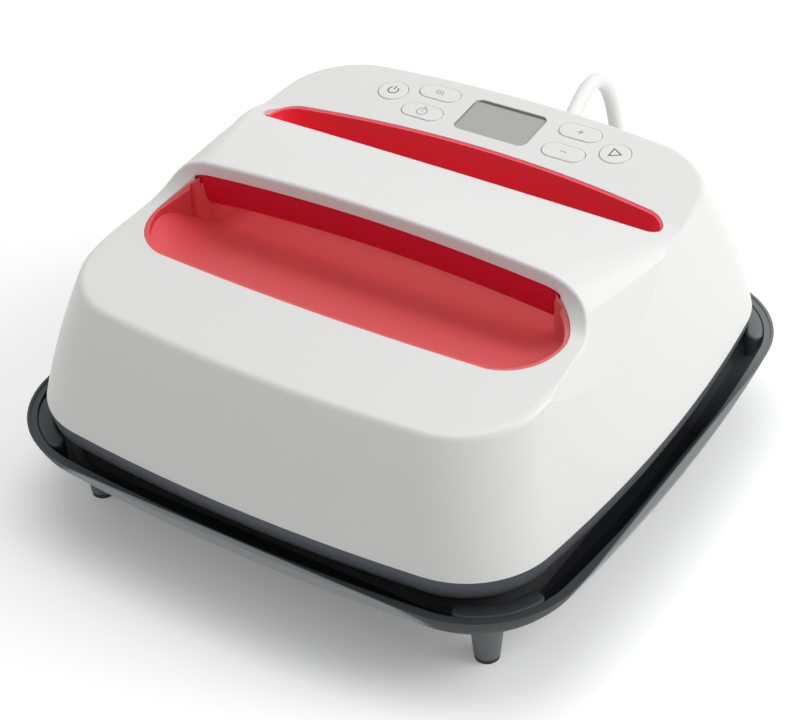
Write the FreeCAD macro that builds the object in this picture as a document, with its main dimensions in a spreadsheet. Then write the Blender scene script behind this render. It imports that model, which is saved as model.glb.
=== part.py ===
# Handheld heat press resting in its safety base.
# Millimetres. X to the right seen from the front, Y to the back, Z up.
# The origin is on the floor, under the middle of the press.
import FreeCAD, Part
import Sketcher
import math
import os
from FreeCAD import Placement, Rotation, Vector

doc = FreeCAD.newDocument("heat_press")

# Driving dimensions. The real plate of this size class is 9 inches square.
DIMENSIONS = {
    "base tray": [
        ("rim_height", 46.0), ("tray_half_x", 142.15), ("tray_half_y", 141.8), ("tray_corner", 50.0),
        ("tray_bow_side", 896.0), ("tray_bow_front", 965.0), ("rim_width", 4.4), ("bead_width", 1.3),
        ("bead_height", 0.5), ("tray_under", 27.0), ("tray_floor", 30.0),
        ("rest_centre", 92.0), ("rest_inner", 31.5), ("rest_outer", 39.5), ("rest_top", 45.2),
        ("mat_side", 236.0), ("mat_corner", 36.0), ("mat_thick", 4.0)],
    "feet": [
        ("foot_place", 102.5), ("foot_low_radius", 5.7), ("foot_top_radius", 12.5), ("pad_height", 2.2),
        ("screw_radius", 1.5), ("screw_head", 3.0), ("hole_play", 0.08)],
    "cover": [
        ("cover_low", 58.7), ("cover_half_x", 132.0), ("cover_half_y", 134.2), ("cover_corner", 41.9),
        ("cover_bow_side", 699.0), ("cover_bow_front", 841.0), ("side_curve", 900.0), ("side_start", 13.5),
        ("front_curve", 190.0), ("front_start", 9.0), ("wall", 2.5),
        ("deck_height", 120.4), ("deck_slope", 0.1075), ("deck_crown", 2767.0),
        ("cove_radius", 16.0), ("cove_centre", -43.0), ("front_edge_round", 4.0), ("panel_edge_round", 3.0),
        ("lip_round", 1.4)],
    "handle": [
        ("handle_front", -27.0), ("handle_rear", 36.0), ("band_end", 49.0), ("arch_top", 145.8),
        ("arch_radius", 850.0), ("shoulder_radius", 28.0), ("shoulder_x", 81.5), ("shoulder_z", 114.0),
        ("lip_height", 6.7), ("lip_half", 93.0), ("rear_lip_height", 5.5), ("liner_low", 120.4),
        ("liner_half", 101.2), ("liner_skin", 2.2)],
    "slots": [
        ("slot_half", 103.1), ("slot_front", -72.6), ("rear_slot_half", 103.5), ("rear_slot_back", 63.0),
        ("trough_rim", 1.6), ("trough_flange", 2.6), ("trough_skin", 2.4), ("rim_depth", 0.6),
        ("tunnel_half", 88.0), ("pillar_round", 6.0), ("play", 0.15)],
    "panel": [
        ("panel_middle", 83.05), ("panel_height", 131.87), ("panel_slope", 0.118),
        ("window_width", 38.6), ("window_depth", 25.0), ("window_corner", 4.0),
        ("round_key", 7.2), ("pill_length", 21.0), ("pill_width", 10.6), ("key_gap", 0.3),
        ("key_proud", 0.35)],
    "skirt": [("skirt_low", 45.5), ("skirt_seam", 58.4), ("plate_hole", 115.6), ("plate_hole_corner", 13.2)],
    "plate": [("plate_side", 228.6), ("plate_corner", 12.0), ("plate_low", 42.0), ("plate_thick", 8.0),
              ("element_radius", 3.25)],
    "cord": [("cord_diameter", 8.0), ("coil_radius", 58.5), ("coil_pitch", 8.6), ("coil_layer", 8.7)],
}
sheet = doc.addObject("Spreadsheet::Sheet", "Dims")
row = 1
for heading, entries in DIMENSIONS.items():
    sheet.set("A%d" % row, heading)
    for alias, value in entries:
        row += 1
        sheet.set("A%d" % row, alias.replace("_", " "))
        sheet.set("B%d" % row, str(value))
        sheet.setAlias("B%d" % row, alias)
    row += 2
doc.recompute()

nodes = []


def size(alias):
    return float(sheet.get(alias))


def bind(thing, **formulas):
    for name, formula in formulas.items():
        thing.setExpression(name, formula)


def keep(thing, name):
    """the finished sub-part: its Label names its file"""
    thing.Label = name
    nodes.append(thing)
    return thing


def made(name, shape, placement=None):
    thing = doc.addObject("Part::Feature", name + "_form")
    thing.Shape = shape
    if placement:
        thing.Placement = placement
    return thing


def joined(name, things):
    union = doc.addObject("Part::MultiFuse", name)
    union.Shapes = things
    return union


def group(name, things):
    """separate solids that share one node"""
    compound = doc.addObject("Part::Compound", name)
    compound.Links = things
    return compound


def cylinder(name, place, radius, height, axis=Vector(0, 0, 1)):
    post = doc.addObject("Part::Cylinder", name)
    bind(post, Radius=radius, Height=height)
    post.Placement = Placement(place, Rotation(Vector(0, 0, 1), axis))
    return post


def mirrored(name, thing, normal):
    twin = doc.addObject("Part::Mirroring", name)
    twin.Source = thing
    twin.Normal = normal
    return twin


def in_four_corners(name, thing):
    """the thing and its mirror images across both middle planes"""
    pair = group(name + "_pair", [thing, mirrored(name + "_right", thing, Vector(1, 0, 0))])
    return group(name, [pair, mirrored(name + "_back", pair, Vector(0, 1, 0))])


def plane_of(body, role):
    return next(feature for feature in body.Origin.OriginFeatures if feature.Role == role)


def sketch_on(body, name, role="XY_Plane"):
    sketch = body.newObject("Sketcher::SketchObject", name)
    sketch.AttachmentSupport = [(plane_of(body, role), "")]
    sketch.MapMode = "FlatFace"
    return sketch


def add_rectangle(sketch, width, depth):
    """a rectangle centred on the sketch's origin, its sides bound to formulas"""
    corners = [(-10, -10), (10, -10), (10, 10), (-10, 10)]
    first = sketch.GeometryCount
    for i in range(4):
        start = Vector(corners[i][0], corners[i][1], 0)
        end = Vector(corners[(i + 1) % 4][0], corners[(i + 1) % 4][1], 0)
        sketch.addGeometry(Part.LineSegment(start, end), False)
    for i in range(4):
        sketch.addConstraint(Sketcher.Constraint("Coincident", first + i, 2, first + (i + 1) % 4, 1))
    sketch.addConstraint(Sketcher.Constraint("Horizontal", first))
    sketch.addConstraint(Sketcher.Constraint("Horizontal", first + 2))
    sketch.addConstraint(Sketcher.Constraint("Vertical", first + 1))
    sketch.addConstraint(Sketcher.Constraint("Vertical", first + 3))
    sketch.addConstraint(Sketcher.Constraint("Symmetric", first, 1, first + 2, 1, -1, 1))
    wide = sketch.addConstraint(Sketcher.Constraint("DistanceX", first, 1, first, 2, 20.0))
    deep = sketch.addConstraint(Sketcher.Constraint("DistanceY", first + 1, 1, first + 1, 2, 20.0))
    sketch.setExpression("Constraints[%d]" % wide, width)
    sketch.setExpression("Constraints[%d]" % deep, depth)


def plate(name, width, depth, thick, corner, place):
    """a flat body with rounded corners: sketch, pad and fillet"""
    body = doc.addObject("PartDesign::Body", name)
    sketch = sketch_on(body, name + "_outline")
    add_rectangle(sketch, width, depth)
    pad = body.newObject("PartDesign::Pad", name + "_pad")
    pad.Profile = sketch
    pad.setExpression("Length", thick)
    doc.recompute()
    upright = ["Edge%d" % (i + 1) for i, e in enumerate(pad.Shape.Edges)
               if abs(e.tangentAt(e.FirstParameter).z) > 0.99]
    fillet = body.newObject("PartDesign::Fillet", name + "_corners")
    fillet.Base = (pad, upright)
    fillet.setExpression("Radius", corner)
    body.Placement = place if isinstance(place, Placement) else Placement(place, Rotation())
    return body


def drill(body, name, points, radius, depth):
    """round holes down from the body's base plane, upwards through it"""
    sketch = sketch_on(body, name + "_centres")
    for i, (x, y) in enumerate(points):
        sketch.addGeometry(Part.Circle(Vector(x, y, 0), Vector(0, 0, 1), 1.0), False)
        limit = sketch.addConstraint(Sketcher.Constraint("Radius", i, 1.0))
        sketch.setExpression("Constraints[%d]" % limit, radius)
    hole = body.newObject("PartDesign::Pocket", name)
    hole.Profile = sketch
    hole.Reversed = True
    hole.setExpression("Length", depth)
    return hole


# Outline shared by the tray, the skirt and the cover: four bowed sides and four corner arcs.
def corner_centre(half_x, half_y, corner, bow_side, bow_front):
    """centre of the arc that touches the side bow and the front bow from inside"""
    front_y = half_y - bow_front
    side_x = half_x - bow_side
    reach_front = bow_front - corner
    reach_side = bow_side - corner
    apart = math.hypot(front_y, side_x)
    along = (reach_front ** 2 - reach_side ** 2 + apart ** 2) / (2 * apart)
    across = math.sqrt(reach_front ** 2 - along ** 2)
    ux, uy = side_x / apart, -front_y / apart
    choices = [(along * ux + s * across * uy, front_y + along * uy - s * across * ux) for s in (1, -1)]
    return front_y, side_x, max(choices, key=sum)


def bowed_square(half_x, half_y, corner, bow_side, bow_front, z):
    front_y, side_x, (px, py) = corner_centre(half_x, half_y, corner, bow_side, bow_front)
    to_front = Vector(px, py - front_y, 0).normalize()
    to_side = Vector(px - side_x, py, 0).normalize()
    front_end = Vector(0, front_y, 0) + to_front * bow_front
    side_end = Vector(side_x, 0, 0) + to_side * bow_side
    middle = Vector(px, py, 0) + (to_front + to_side).normalize() * corner
    quarter = [side_end, middle, front_end, Vector(0, half_y, 0)]
    points = [Vector(half_x, 0, 0)] + quarter
    points += [Vector(-p.x, p.y, 0) for p in reversed(quarter[:3])]
    points += [Vector(-half_x, 0, 0)] + [Vector(-p.x, -p.y, 0) for p in quarter]
    points += [Vector(p.x, -p.y, 0) for p in reversed(quarter[:3])]
    points = [Vector(p.x, p.y, z) for p in points]
    edges = []
    for i in range(1, 16, 2):
        edges.append(Part.Arc(points[i - 2], points[i - 1], points[i]).toShape())
    return Part.Wire(edges)


def tray_section(z, inset):
    return bowed_square(size("tray_half_x") - inset, size("tray_half_y") - inset, size("tray_corner") - inset,
                        size("tray_bow_side") - inset, size("tray_bow_front") - inset, z)


def lean(z, curve, start):
    """how far a wall of that curve radius has leant in at height z"""
    low = math.sin(math.radians(start))
    return curve * (math.sqrt(1 - low ** 2) - math.sqrt(1 - (low + (z - size("cover_low")) / curve) ** 2))


def cover_section(z, inset):
    rise = (z - size("cover_low")) / 56.3
    return bowed_square(size("cover_half_x") - lean(z, size("side_curve"), size("side_start")) - inset,
                        size("cover_half_y") - lean(z, size("front_curve"), size("front_start")) - inset,
                        size("cover_corner") - 2 * rise - inset, size("cover_bow_side") + 51 * rise - inset,
                        size("cover_bow_front") - 221 * rise - inset, z)


def loft(wires, ruled=False):
    return Part.makeLoft(wires, True, ruled)


def prism(wire, height):
    return Part.Face(wire).extrude(Vector(0, 0, height))


def polygon(points):
    return Part.Wire(Part.makePolygon(points + [points[0]]))


# Base tray
def base_tray():
    top = size("rim_height")
    outer = loft([tray_section(z, inset) for z, inset in (
        (top, 0), (42, 1.6), (38, 3.8), (34, 7.0), (31, 10.0), (28.6, 13.2), (size("tray_under"), 17))])
    width = size("rim_width")
    inner = loft([tray_section(z, inset) for z, inset in (
        (top + 1, width - 0.1), (42.5, width + 0.6), (38, 7.2), (34.5, 10.2), (32, 13.2),
        (size("tray_floor"), 17.5))])
    tray = outer.cut(inner)
    step = prism(tray_section(top - size("bead_height"), size("bead_width")), 2)
    tray = tray.cut(step)
    rests = [corner_rest(sx, sy).common(outer) for sx in (1, -1) for sy in (1, -1)]
    tray = tray.fuse(rests).removeSplitter()
    place = size("foot_place")
    tools = []
    for x in (place, -place):
        for y in (place, -place):
            tools.append(Part.makeCylinder(size("screw_radius") + size("hole_play"), 6, Vector(x, y, 25)))
            tools.append(Part.makeCone(size("screw_radius"), size("screw_head") + 0.2, 1.7,
                                       Vector(x, y, size("tray_floor") - 1.69)))
    return tray.cut(tools)


def corner_rest(sx, sy):
    """curved ridge with round ends, concentric with the tray's corner"""
    c = size("rest_centre")
    mid = (size("rest_inner") + size("rest_outer")) / 2
    half = (size("rest_outer") - size("rest_inner")) / 2

    def at(radius, degrees):
        a = math.radians(degrees)
        return Vector(sx * (c + radius * math.cos(a)), sy * (c + radius * math.sin(a)), size("tray_floor") - 1)

    cap = math.degrees(half / mid)
    edges = [Part.Arc(at(mid - half, 20), at(mid - half, 45), at(mid - half, 70)),
             Part.Arc(at(mid - half, 70), at(mid, 70 + cap), at(mid + half, 70)),
             Part.Arc(at(mid + half, 70), at(mid + half, 45), at(mid + half, 20)),
             Part.Arc(at(mid + half, 20), at(mid, 20 - cap), at(mid - half, 20))]
    ridge = prism(Part.Wire([e.toShape() for e in edges]), size("rest_top") - size("tray_floor") + 1)
    top = [e for e in ridge.Edges if e.BoundBox.ZMin > size("rest_top") - 0.1]
    return ridge.makeFillet(1.4, top)


def tray_pieces():
    keep(made("base_tray", base_tray()), "base_tray")
    mat = plate("insulation_mat", "Dims.mat_side", "Dims.mat_side", "Dims.mat_thick", "Dims.mat_corner",
                Vector(0, 0, size("tray_floor") + 0.05))
    keep(mat, "insulation_mat")


# Feet, pads and their screws
def foot_pieces():
    place = size("foot_place")
    low, top = size("pad_height"), size("tray_under")
    r0, r1 = size("foot_low_radius"), size("foot_top_radius")
    outline = [Part.LineSegment(Vector(0, 0, low), Vector(r0, 0, low)),
               Part.LineSegment(Vector(r0, 0, low), Vector(r0 + 1.2, 0, 15)),
               Part.Arc(Vector(r0 + 1.2, 0, 15), Vector(r0 + 2.6, 0, 22.5), Vector(r1, 0, top)),
               Part.LineSegment(Vector(r1, 0, top), Vector(0, 0, top)),
               Part.LineSegment(Vector(0, 0, top), Vector(0, 0, low))]
    foot = Part.Face(Part.Wire([e.toShape() for e in outline])).revolve(Vector(), Vector(0, 0, 1), 360)
    foot = foot.cut(Part.makeCylinder(size("screw_radius") + size("hole_play"), 17, Vector(0, 0, 11)))
    place_one = Placement(Vector(-place, -place, 0), Rotation())
    keep(in_four_corners("tray_feet", made("tray_foot", foot, place_one)), "tray_feet")
    pad = cylinder("foot_pad", Vector(-place, -place, 0), "Dims.foot_low_radius - 0.3", "Dims.pad_height - 0.02")
    keep(in_four_corners("foot_pads", pad), "foot_pads")
    head = doc.addObject("Part::Cone", "foot_screw_head")
    bind(head, Radius1="Dims.screw_radius", Radius2="Dims.screw_head", Height="1.6")
    head.Placement = Placement(Vector(-place, -place, top + 1.4), Rotation())
    shank = cylinder("foot_screw_shank", Vector(-place, -place, 12.0), "Dims.screw_radius", "16.6")
    keep(in_four_corners("foot_screws", joined("foot_screw", [head, shank])), "foot_screws")


# Cover: bowed walls limited from above by deck, handle band and panel
def panel_z(y):
    return size("panel_height") + size("panel_slope") * (y - size("panel_middle"))


def arch_curve(y, t, low, drop=0.0):
    """front profile of the handle band, t inside the outer face and moved down by drop"""
    r = size("shoulder_radius") - t
    cx, cz = size("shoulder_x"), size("shoulder_z") - drop
    top = size("arch_top") - t - drop
    arch_z = size("arch_top") - size("arch_radius") - drop
    touch = Vector(cx, 0, cz - arch_z).normalize() * r + Vector(cx, 0, cz)
    start = math.atan2(touch.z - cz, touch.x - cx)
    end = math.radians(30)
    middle = (start + end) / 2
    points = [touch, Vector(cx + r * math.cos(middle), 0, cz + r * math.sin(middle)),
              Vector(cx + r * math.cos(end), 0, cz + r * math.sin(end))]
    foot = Vector(points[2].x + (points[2].z - low) / math.tan(math.radians(60)), 0, low)
    return profile(y, top, points, foot)


def crease_curve(y, t, low):
    """rear profile of the handle band: level, with a tight corner at the walls"""
    r = 3.0
    cx, cz = 112.5 - t, panel_z(y) - t - r
    points = [Vector(cx + r * math.cos(math.radians(a)), 0, cz + r * math.sin(math.radians(a)))
              for a in (90, 60, 30)]
    foot = Vector(points[2].x + (points[2].z - low) / math.tan(math.radians(60)), 0, low)
    return profile(y, panel_z(y) - t + 0.05, points, foot)


def profile(y, top, points, foot):
    """closed wire: crown arc, shoulder arcs and straight sides"""
    right = [Vector(p.x, y, p.z) for p in points + [foot]]
    left = [Vector(-p.x, y, p.z) for p in points + [foot]]
    return Part.Wire([Part.Arc(left[0], Vector(0, y, top), right[0]).toShape(),
                      Part.Arc(right[0], right[1], right[2]).toShape(),
                      Part.LineSegment(right[2], right[3]).toShape(),
                      Part.LineSegment(right[3], left[3]).toShape(),
                      Part.LineSegment(left[3], left[2]).toShape(),
                      Part.Arc(left[2], left[1], left[0]).toShape()])


def deck_solid(t, low):
    """crowned front deck that sweeps up into the handle's front edge"""
    slope = math.atan(size("deck_slope"))
    cy, r = size("cove_centre"), size("cove_radius") + t

    def line_z(y):
        return size("deck_height") + size("deck_slope") * (y + 66) - t / math.cos(slope)

    cz = line_z(cy) + (size("cove_radius") + t) / math.cos(slope)
    start = Vector(0, cy + r * math.sin(slope), cz - r * math.cos(slope))
    middle = Vector(0, cy + r * math.cos(math.radians(-42)), cz + r * math.sin(math.radians(-42)))
    end = Vector(0, cy + r, cz)
    points = [end, end + Vector(0, 2, 0), Vector(0, end.y + 2, low), Vector(0, -150, low),
              Vector(0, -150, line_z(-150)), start]
    edges = [Part.LineSegment(a, b).toShape() for a, b in zip(points, points[1:])]
    face = Part.Face(Part.Wire(edges + [Part.Arc(start, middle, end).toShape()]))
    pivot = Vector(0, 0, size("deck_height") + 0.6 - size("deck_crown"))
    half = 3.2
    face.rotate(pivot, Vector(0, 1, 0), -half)
    return face.revolve(pivot, Vector(0, 1, 0), 2 * half)


def cover_body(t, low):
    """solid bounded by the cover's faces, all moved in by t"""
    walls = loft([cover_section(z, t) for z in (low, 72, 86, 100, 114, 128, 142, 152)])
    front, end = size("handle_front") + t, size("band_end")
    under = low - 20
    band = loft([arch_curve(front, t, under), crease_curve(end, t, under)], True)
    side = [Vector(-150, end, under), Vector(-150, end, panel_z(end) - t), Vector(-150, 150, panel_z(150) - t),
            Vector(-150, 150, under)]
    panel = Part.Face(polygon(side)).extrude(Vector(300, 0, 0))
    arch = Part.Face(arch_curve(-160, t, under)).extrude(Vector(0, 160 + front + 0.5, 0))
    deck = deck_solid(t, under).common(arch)
    return walls.common(band.fuse([panel, deck])).removeSplitter()


def rounded_cover():
    """outer form with its edges rounded as moulded"""
    form = cover_body(0, size("cover_low"))
    front, back, lip = [], [], []
    for edge in form.Edges:
        box = edge.BoundBox
        middle = edge.valueAt((edge.FirstParameter + edge.LastParameter) / 2)
        if box.ZMin < size("cover_low") + 1:
            continue
        if box.YMax < -70 and box.ZMax < 121 and middle.y < -90:
            front.append(edge)
        if box.YMin > size("band_end") - 0.1 and box.ZMax > 128 and middle.y > 55:
            back.append(edge)
        if abs(box.YMin - size("handle_front")) < 0.1 and abs(box.YMax - size("handle_front")) < 0.1 \
                and middle.z > 139.2:
            lip.append(edge)
    form = form.makeFillet(size("front_edge_round"), front)
    back = matching(form, back)
    form = form.makeFillet(size("panel_edge_round"), back)
    return form.makeFillet(size("lip_round"), matching(form, lip))


def matching(form, edges):
    """the same edges, found again on a changed form by their middle points"""
    found = []
    for edge in edges:
        middle = edge.valueAt((edge.FirstParameter + edge.LastParameter) / 2)
        found.append(min(form.Edges, key=lambda e: e.distToShape(Part.Vertex(middle))[0]))
    return found


def closed_outline(points, arcs):
    """wire through points; arcs maps the index of a span's start to its middle point"""
    edges = []
    for i, start in enumerate(points):
        end = points[(i + 1) % len(points)]
        if i in arcs:
            edges.append(Part.Arc(start, arcs[i], end).toShape())
        else:
            edges.append(Part.LineSegment(start, end).toShape())
    return Part.Wire(edges)


def front_slot(z, grow=0.0):
    """plan outline of the hand slot in front of the handle"""
    half, back, front = size("slot_half") + grow, size("handle_front") + grow, size("slot_front") - grow

    def p(x, y):
        return Vector(x, y, z)

    points = [p(-90, back), p(90, back), p(half, -43.5), p(82, front + 3.5), p(-82, front + 3.5), p(-half, -43.5)]
    arcs = {1: p(half - 3.6, back - 5.2), 2: p(half - 6.2, front + 12.4), 3: p(0, front),
            4: p(6.2 - half, front + 12.4), 5: p(3.6 - half, back - 5.2)}
    return closed_outline(points, arcs)


def rear_slot(z, grow=0.0):
    """plan outline of the finger slot behind the handle"""
    half, front, back = size("rear_slot_half") + grow, size("handle_rear") - grow, size("rear_slot_back") + grow

    def p(x, y):
        return Vector(x, y, z)

    points = [p(-98.5, front), p(98.5, front), p(half, 41), p(92.5, back - 8.3), p(-92.5, back - 8.3),
              p(-half, 41)]
    arcs = {1: p(half - 1.6, front + 1.4), 2: p(half - 3.0, 48.8), 3: p(0, back),
            4: p(3.0 - half, 48.8), 5: p(1.6 - half, front + 1.4)}
    return closed_outline(points, arcs)


# Panel frame: origin at the middle of the panel's face, its Z along the panel's normal
PANEL = Placement(Vector(0, size("panel_middle"), size("panel_height")),
                  Rotation(Vector(1, 0, 0), math.degrees(math.atan(size("panel_slope")))))
# Key places in the panel frame: name, x, y, true for a round key
KEYS = [("key_power", -59.2, 0.9, True), ("key_heat", -37.5, 8.4, False), ("key_timer", -37.5, -8.0, False),
        ("key_plus", 37.5, 8.4, False), ("key_minus", 37.5, -8.0, False), ("key_start", 59.2, 0.9, True)]
BOARD_SCREWS = [(-54.5, -13.0), (54.5, -13.0), (-54.5, 13.0), (54.5, 13.0)]
CHASSIS_SCREWS = [(-94, -92), (94, -92), (-94, 92), (94, 92)]
COVER_SCREWS = [(-119.4, -35), (-119.4, 35), (119.4, -35), (119.4, 35),
                (-35, -120.6), (35, -120.6), (-35, 120.6), (35, 120.6)]


def key_outline(round_key, grow, z):
    if round_key:
        return Part.Wire(Part.Circle(Vector(0, 0, z), Vector(0, 0, 1), size("round_key") + grow).toShape())
    r = size("pill_width") / 2 + grow
    x = size("pill_length") / 2 - size("pill_width") / 2
    points = [Vector(-x, -r, z), Vector(x, -r, z), Vector(x, r, z), Vector(-x, r, z)]
    return closed_outline(points, {1: Vector(x + r, 0, z), 3: Vector(-x - r, 0, z)})


def rounded_rectangle(width, depth, corner, z):
    x, y = width / 2 - corner, depth / 2 - corner
    d = corner * math.sqrt(0.5)
    points = [Vector(-x, -depth / 2, z), Vector(x, -depth / 2, z), Vector(width / 2, -y, z),
              Vector(width / 2, y, z), Vector(x, depth / 2, z), Vector(-x, depth / 2, z),
              Vector(-width / 2, y, z), Vector(-width / 2, -y, z)]
    arcs = {1: Vector(x + d, -y - d, z), 3: Vector(x + d, y + d, z), 5: Vector(-x - d, y + d, z),
            7: Vector(-x - d, -y - d, z)}
    return closed_outline(points, arcs)


def in_panel(shape):
    shape.Placement = PANEL.multiply(shape.Placement)
    return shape


def upper_shell():
    outer = rounded_cover()
    wall = size("wall")
    shell = outer.cut(cover_body(wall, size("cover_low") - 2))
    posts = [Part.makeCylinder(4.5, 80, Vector(x, y, 76)) for x, y in CHASSIS_SCREWS]
    posts += [Part.makeCylinder(4.0, 44, Vector(x, y, 49.3)) for x, y in COVER_SCREWS]
    low_posts = [post.common(outer.fuse(prism(cover_section(49, 6), 12))) for post in posts[4:]]
    shell = shell.fuse([rear_lip(0).common(outer)] + [post.common(outer) for post in posts[:4]] + low_posts)
    studs = [in_panel(Part.makeCylinder(2.6, 7.4 - 1, Vector(x, y, -7.4))) for x, y in BOARD_SCREWS]
    shell = shell.fuse(studs)
    tools = [prism(front_slot(80), 90), prism(rear_slot(80), 90), handle_underside()]
    tools.append(in_panel(prism(rounded_rectangle(size("window_width"), size("window_depth"),
                                                  size("window_corner"), -6), 10)))
    for name, x, y, is_round in KEYS:
        hole = prism(key_outline(is_round, size("key_gap"), -6), 10)
        hole.translate(Vector(x, y, 0))
        tools.append(in_panel(hole))
    play = size("screw_radius") + 0.03
    tools += [Part.makeCylinder(play, 14, Vector(x, y, 75)) for x, y in CHASSIS_SCREWS]
    tools += [Part.makeCylinder(play, 18, Vector(x, y, 48)) for x, y in COVER_SCREWS]
    tools += [in_panel(Part.makeCylinder(1.03, 5, Vector(x, y, -8))) for x, y in BOARD_SCREWS]
    tools.append(Part.makeCylinder(6.1, 12, GLAND_ROOT - GLAND_AXIS * 7, GLAND_AXIS))
    return shell.cut(tools)


def handle_underside():
    """what is open below the lip's lower edge, between both slots"""
    under = 84.0
    top = arch_curve(size("handle_front") - 0.6, 0, under, size("lip_height"))
    front = Part.Face(top).extrude(Vector(0, size("wall") + 3.0, 0))
    half = size("lip_half")
    return front.common(Part.makeBox(2 * half, 20, 80, Vector(-half, size("handle_front") - 1, under)))


def rear_lip(grow):
    """wall that hangs from the handle's rear edge"""
    low = panel_z(size("band_end")) + 3.1 - size("rear_lip_height") - grow
    half, thick = 102 + grow, size("wall") + grow
    return Part.makeBox(2 * half, thick, 14, Vector(-half, size("handle_rear") - thick, low))


# Red moulding under the handle
# Its floor: place from front to back, height in the middle and height at both ends
FLOOR = [(-76.0, 117.9, 118.6), (-62.0, 114.0, 118.8), (-46.0, 110.1, 120.3), (-27.0, 105.2, 121.5),
         (-8.0, 100.6, 121.8), (12.0, 98.3, 121.8), (32.0, 98.6, 122.0), (50.0, 100.0, 123.5), (68.0, 104.0, 125.0)]


def floor_section(y, middle, end, drop):
    """closed cross-section of the space above the floor, level in the middle and swept up at both ends"""
    half, level, top = 106.0, 60.0, 160.0
    right = []
    for x in (0, 30, level, 76, 88, 97, half):
        rise = max(0.0, (x - level) / (half - level)) ** 3
        right.append(Vector(x, y, middle + (end - middle) * rise - drop))
    left = [Vector(-p.x, y, p.z) for p in reversed(right[1:])]
    curve = Part.BSplineCurve()
    curve.interpolate(left + right)
    corners = [right[-1], Vector(half, y, top), Vector(-half, y, top), left[0]]
    lines = [Part.LineSegment(a, b).toShape() for a, b in zip(corners, corners[1:])]
    return Part.Wire([curve.toShape()] + lines)


def above_floor(drop):
    return loft([floor_section(y, middle, end, drop) for y, middle, end in FLOOR])


def tunnel(z):
    """plan outline of the way under the handle, its pillars' corners rounded"""
    half, r = size("tunnel_half"), size("pillar_round")
    front = size("handle_front") - size("trough_rim")
    rear = size("handle_rear") + size("trough_rim")
    near = r * (1 - math.sqrt(0.5))

    def p(x, y):
        return Vector(x, y, z)

    points = [p(half, front + r), p(half + r, front), p(half + r, front - 14), p(-half - r, front - 14),
              p(-half - r, front), p(-half, front + r), p(-half, rear - r), p(-half - r, rear),
              p(-half - r, rear + 7), p(half + r, rear + 7), p(half + r, rear), p(half, rear - r)]
    arcs = {0: p(half + near, front + near), 4: p(-half - near, front + near),
            6: p(-half - near, rear - near), 10: p(half + near, rear - near)}
    return closed_outline(points, arcs)


def grip_trough():
    """dished through-way below the handle, its rim standing in both slots"""
    play, rim, flange = size("play"), size("trough_rim"), size("trough_flange")
    clear = size("wall") + play
    under_cover = cover_body(clear, size("cover_low") - 2)
    near_face = cover_body(size("rim_depth"), size("cover_low") - 2)
    front = prism(front_slot(80, flange), 90).common(under_cover)
    middle = Part.makeBox(2 * 99.5, 76, 90, Vector(-99.5, -34, 80)).common(under_cover)
    rear = prism(rear_slot(80, flange), 90).common(below_panel(clear))
    rims = [prism(front_slot(80, -play), 90).common(near_face),
            prism(rear_slot(80, -play), 90).common(below_panel(size("rim_depth")))]
    block = front.fuse([middle, rear] + rims).common(above_floor(size("trough_skin")))
    air = prism(front_slot(70, -rim), 100).fuse([prism(rear_slot(70, -rim), 100), prism(tunnel(70), 100)])
    block = block.cut(air.common(above_floor(0)))
    return biggest(block.cut([liner_solid(play, size("liner_half") + 3), rear_lip(play)]))


def below_panel(depth):
    """space under the panel's plane, moved down by depth"""
    side = [Vector(-120, 30, 80), Vector(-120, 30, panel_z(30) - depth), Vector(-120, 72, panel_z(72) - depth),
            Vector(-120, 72, 80)]
    return Part.Face(polygon(side)).extrude(Vector(240, 0, 0))


def liner_profile(grow):
    """side profile of the handle's underside skin, closed above inside the hollow handle"""
    front, rear = size("handle_front") - grow, size("handle_rear") + grow
    low = size("liner_low") - grow

    def p(y, z):
        return Vector(0, y, z)

    points = [p(front + 0.3, 139.4), p(front + 1.6, low + 8.2), p(front + 10.4, low), p(24, low + 0.4),
              p(rear - 3.0, low + 5.2), p(rear - 0.4, 130.2), p(rear - 0.4, 148), p(front + 0.3, 152)]
    arcs = {1: p(front + 4.2, low + 2.5), 3: p(rear - 6.6, low + 2.0)}
    return closed_outline(points, arcs)


def bent(face, half):
    """the profile swept along the handle's arch, half of its width to each side"""
    pivot = Vector(0, 0, size("arch_top") - size("arch_radius"))
    turn = math.degrees(math.asin(half / (size("liner_low") - pivot.z)))
    face.rotate(pivot, Vector(0, 1, 0), -turn)
    return face.revolve(pivot, Vector(0, 1, 0), 2 * turn)


def liner_solid(grow, half):
    return bent(Part.Face(liner_profile(grow)), half)


def grip_liner():
    """rounded red skin that closes the handle from below"""
    play, skin, half = size("play"), size("liner_skin"), size("liner_half")
    inner = bent(Part.Face(liner_profile(0).makeOffset2D(-skin)), half - skin)
    solid = liner_solid(0, half).cut(inner)
    inset = size("wall") + play
    band = loft([arch_curve(size("handle_front") - 5, inset + 0.6, 100),
                 crease_curve(size("band_end"), inset + 0.6, 100)], True)
    front, open_half = size("handle_front") + inset, size("lip_half") - play
    opening = Part.Face(arch_curve(front - 21, 0, 84, size("lip_height") + play)).extrude(Vector(0, 22, 0))
    opening = opening.common(Part.makeBox(2 * open_half, 30, 90, Vector(-open_half, front - 25, 80)))
    front_wall = Part.makeBox(300, 20, 60, Vector(-150, front - 20, 110)).cut(opening)
    return biggest(solid.common(band).cut([front_wall, rear_lip(play)]))


def biggest(shape):
    return max(shape.Solids, key=lambda s: s.Volume)


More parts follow.
